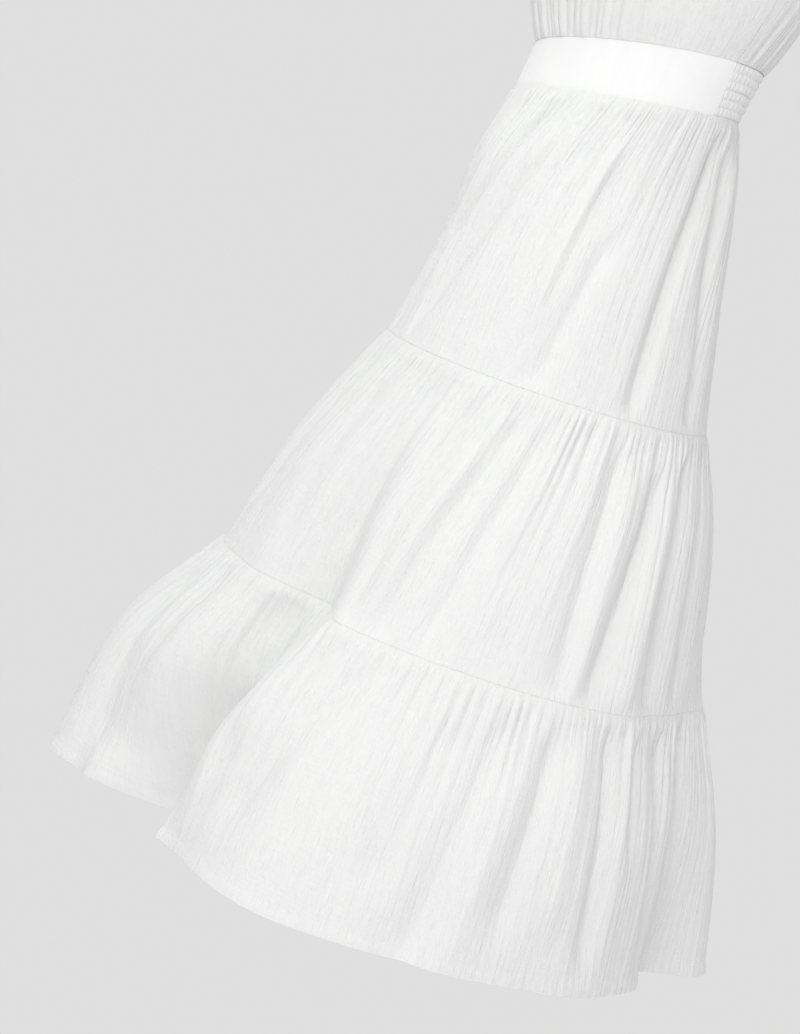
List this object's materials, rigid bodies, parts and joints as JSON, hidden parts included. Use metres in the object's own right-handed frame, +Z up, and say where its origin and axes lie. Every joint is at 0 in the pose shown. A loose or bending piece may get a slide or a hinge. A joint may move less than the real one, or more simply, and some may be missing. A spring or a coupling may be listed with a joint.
{
  "type": "midi dress",
  "caption": "Sleeveless midi dress in crinkled cotton gauze: gathered bodice, plain and smocked waistband, and a tiered gathered skirt swinging to one side.",
  "frame": {"origin": "midway between the two shoulder seams, where the wearer holds the dress up", "axes": "+Z up, -Y the wearer's front, +X the wearer's left; the skirt swings toward the front right"},
  "size_m": [0.7186, 0.6455, 1.3205],
  "materials": {
    "crinkled_gauze": "white cotton double gauze, matt, crinkled lengthwise",
    "plain_band": "the same white cotton pulled smooth over a facing",
    "smocked_band": "white cotton shirred on rows of elastic thread"
  },
  "bodies": {
    "root": {"bodice_front": "crinkled_gauze", "bodice_back": "crinkled_gauze", "waistband_front": "plain_band", "waistband_back": "smocked_band", "skirt_tier_1_front": "crinkled_gauze", "skirt_tier_1_back": "crinkled_gauze", "skirt_tier_2_front": "crinkled_gauze", "skirt_tier_2_back": "crinkled_gauze", "skirt_tier_3_front": "crinkled_gauze", "skirt_tier_3_back": "crinkled_gauze"}
  },
  "joints": []
}
